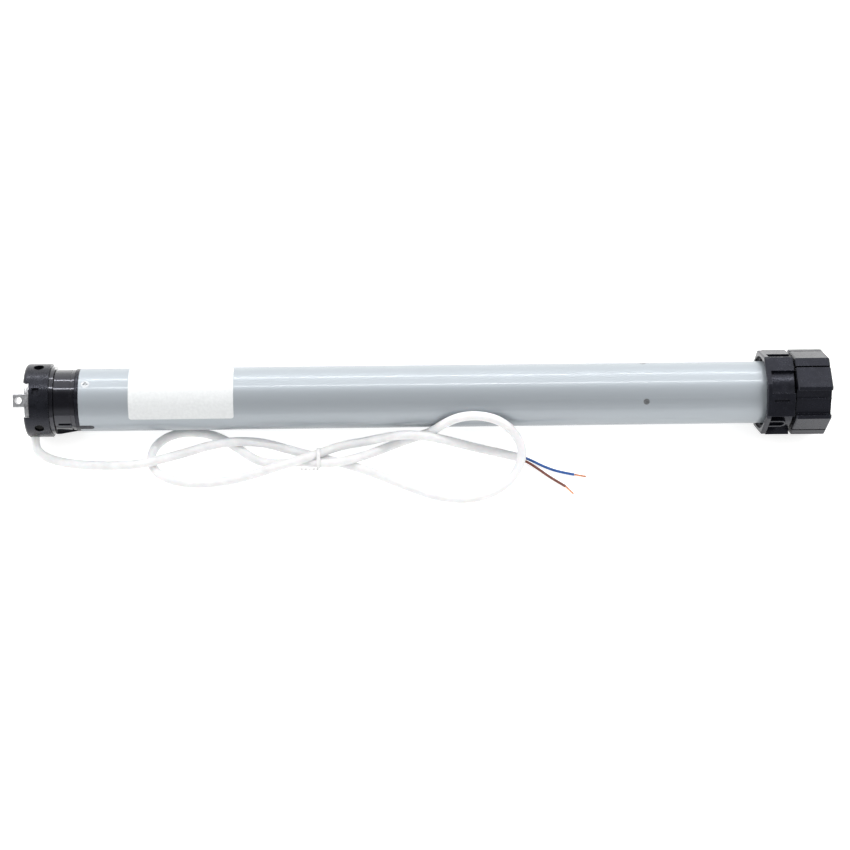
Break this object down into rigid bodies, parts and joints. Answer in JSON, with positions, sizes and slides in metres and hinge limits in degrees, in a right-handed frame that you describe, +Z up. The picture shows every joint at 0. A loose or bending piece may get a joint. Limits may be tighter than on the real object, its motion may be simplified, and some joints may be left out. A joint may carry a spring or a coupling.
{
  "type": "tubular roller blind motor",
  "caption": "Tubular motor for roller blinds: long steel tube, black head with square pin, octagonal drive wheel and crown sleeve, white power cable tied in a loop.",
  "frame": {"origin": "on the motor's axis, at the outer face of the steel plate in the head, where the square pin leaves it", "axes": "+X along the axis towards the drive wheel, +Z up as the motor lies in the picture, -Y towards the side the cable lies on"},
  "size_m": [0.583, 0.1037, 0.0582],
  "materials": {
    "pin_steel": "satin",
    "plate_steel": "satin",
    "screw_steel": "satin",
    "head_plastic": "satin",
    "collar_plastic": "glossy",
    "ring_plastic": "glossy",
    "button_plastic": "glossy",
    "gland_rubber": "matt",
    "tube_steel": "satin grey",
    "rivet_steel": "satin",
    "label_film": "satin white film",
    "cable_white": "satin",
    "tie_white": "satin",
    "wire_blue": "satin",
    "wire_brown": "satin",
    "carrier_plastic": "matt",
    "board_green": "satin",
    "terminal_grey": "matt",
    "lead_red": "satin",
    "capacitor_black": "glossy",
    "relay_black": "matt",
    "chip_black": "matt",
    "radio_metal": "satin",
    "can_steel": "satin",
    "magnet_ferrite": "matt",
    "bell_plastic": "matt",
    "brush_carbon": "matt",
    "bearing_bronze": "satin",
    "shaft_steel": "polished",
    "core_steel": "satin",
    "winding_copper": "enamelled",
    "commutator_copper": "polished",
    "mount_rubber": "matt",
    "flange_zinc": "cast",
    "gearbox_plastic": "matt",
    "pinion_steel": "machined",
    "gear_plastic": "satin",
    "wheel_plastic": "satin",
    "adapter_plastic": "satin"
  },
  "bodies": {
    "motor": {"square_pin": "pin_steel", "mounting_plate": "plate_steel", "plate_screws": "screw_steel", "head_screws": "screw_steel", "head_cap": "head_plastic", "head_body": "head_plastic", "head_collar": "collar_plastic", "cable_gland": "gland_rubber", "motor_tube": "tube_steel", "tube_rivets": "rivet_steel", "rating_label": "label_film", "cable": "cable_white", "cable_inside": "cable_white", "twist_tie": "tie_white", "wire_blue": "wire_blue", "wire_brown": "wire_brown", "board_carrier": "carrier_plastic", "control_board": "board_green", "sensor_board": "board_green", "terminal_block": "terminal_grey", "inner_leads": "lead_red", "board_capacitor": "capacitor_black", "board_relay": "relay_black", "board_semiconductors": "chip_black", "radio_module": "radio_metal", "motor_can": "can_steel", "motor_magnets": "magnet_ferrite", "brake_ring": "magnet_ferrite", "motor_end_bell": "bell_plastic", "motor_brushes": "brush_carbon", "motor_bearings": "bearing_bronze", "output_bush": "bearing_bronze", "rear_mount": "mount_rubber", "motor_flange": "flange_zinc", "gearbox_housing": "gearbox_plastic", "gearbox_cover": "gearbox_plastic"},
    "output": {"output_shaft": "pinion_steel", "drive_wheel": "wheel_plastic", "wheel_fixing": "screw_steel"},
    "carrier_2": {"carrier_2": "pinion_steel"},
    "carrier_1": {"carrier_1": "pinion_steel"},
    "rotor": {"motor_pinion": "pinion_steel", "rotor_shaft": "shaft_steel", "rotor_core": "core_steel", "rotor_windings": "winding_copper", "commutator": "commutator_copper", "encoder_magnet": "magnet_ferrite", "brake_rotor": "magnet_ferrite"},
    "crown_ring": {"crown_ring": "ring_plastic"},
    "crown_adapter": {"crown_adapter": "adapter_plastic"},
    "set_button": {"set_button": "button_plastic"},
    "planet_1a": {"planet_1a": "gear_plastic"},
    "planet_1b": {"planet_1b": "gear_plastic"},
    "planet_1c": {"planet_1c": "gear_plastic"},
    "planet_2a": {"planet_2a": "gear_plastic"},
    "planet_2b": {"planet_2b": "gear_plastic"},
    "planet_2c": {"planet_2c": "gear_plastic"},
    "planet_3a": {"planet_3a": "gear_plastic"},
    "planet_3b": {"planet_3b": "gear_plastic"},
    "planet_3c": {"planet_3c": "gear_plastic"}
  },
  "joints": [
    {"name": "drive_spin", "type": "hinge", "parent": "motor", "child": "output", "pos_m": [0, 0, 0], "axis": [1, 0, 0], "continuous": true},
    {"name": "carrier_2_spin", "type": "hinge", "parent": "motor", "child": "carrier_2", "pos_m": [0, 0, 0], "axis": [1, 0, 0], "continuous": true},
    {"name": "carrier_1_spin", "type": "hinge", "parent": "motor", "child": "carrier_1", "pos_m": [0, 0, 0], "axis": [1, 0, 0], "continuous": true},
    {"name": "rotor_spin", "type": "hinge", "parent": "motor", "child": "rotor", "pos_m": [0, 0, 0], "axis": [1, 0, 0], "continuous": true},
    {"name": "planet_1a_spin", "type": "hinge", "parent": "carrier_1", "child": "planet_1a", "pos_m": [0, 0, 0.0105], "axis": [1, 0, 0], "continuous": true},
    {"name": "planet_1b_spin", "type": "hinge", "parent": "carrier_1", "child": "planet_1b", "pos_m": [0, -0.00909, -0.00525], "axis": [1, 0, 0], "continuous": true},
    {"name": "planet_1c_spin", "type": "hinge", "parent": "carrier_1", "child": "planet_1c", "pos_m": [0, 0.00909, -0.00525], "axis": [1, 0, 0], "continuous": true},
    {"name": "planet_2a_spin", "type": "hinge", "parent": "carrier_2", "child": "planet_2a", "pos_m": [0, 0, 0.0105], "axis": [1, 0, 0], "continuous": true},
    {"name": "planet_2b_spin", "type": "hinge", "parent": "carrier_2", "child": "planet_2b", "pos_m": [0, -0.00909, -0.00525], "axis": [1, 0, 0], "continuous": true},
    {"name": "planet_2c_spin", "type": "hinge", "parent": "carrier_2", "child": "planet_2c", "pos_m": [0, 0.00909, -0.00525], "axis": [1, 0, 0], "continuous": true},
    {"name": "planet_3a_spin", "type": "hinge", "parent": "output", "child": "planet_3a", "pos_m": [0, 0, 0.0105], "axis": [1, 0, 0], "continuous": true},
    {"name": "planet_3b_spin", "type": "hinge", "parent": "output", "child": "planet_3b", "pos_m": [0, -0.00909, -0.00525], "axis": [1, 0, 0], "continuous": true},
    {"name": "planet_3c_spin", "type": "hinge", "parent": "output", "child": "planet_3c", "pos_m": [0, 0.00909, -0.00525], "axis": [1, 0, 0], "continuous": true},
    {"name": "crown_spin", "type": "hinge", "parent": "motor", "child": "crown_ring", "pos_m": [0.0269, 0, 0], "axis": [1, 0, 0], "continuous": true},
    {"name": "adapter_slide", "type": "slide", "parent": "motor", "child": "crown_adapter", "axis": [1, 0, 0], "range_m": [-0.163, 0]},
    {"name": "button_press", "type": "slide", "parent": "motor", "child": "set_button", "axis": [0, 0.9848, -0.1736], "range_m": [0, 0.001], "stiffness_N_per_m": 600, "springref_m": -0.0005}
  ],
  "couplings": [
    {"joint": "carrier_2_spin", "follows": "drive_spin", "ratio": 4.6667},
    {"joint": "carrier_1_spin", "follows": "drive_spin", "ratio": 21.778},
    {"joint": "rotor_spin", "follows": "drive_spin", "ratio": 101.63},
    {"joint": "planet_1a_spin", "follows": "drive_spin", "ratio": -59.889},
    {"joint": "planet_1b_spin", "follows": "drive_spin", "ratio": -59.889},
    {"joint": "planet_1c_spin", "follows": "drive_spin", "ratio": -59.889},
    {"joint": "planet_2a_spin", "follows": "drive_spin", "ratio": -12.833},
    {"joint": "planet_2b_spin", "follows": "drive_spin", "ratio": -12.833},
    {"joint": "planet_2c_spin", "follows": "drive_spin", "ratio": -12.833},
    {"joint": "planet_3a_spin", "follows": "drive_spin", "ratio": -2.75},
    {"joint": "planet_3b_spin", "follows": "drive_spin", "ratio": -2.75},
    {"joint": "planet_3c_spin", "follows": "drive_spin", "ratio": -2.75}
  ]
}
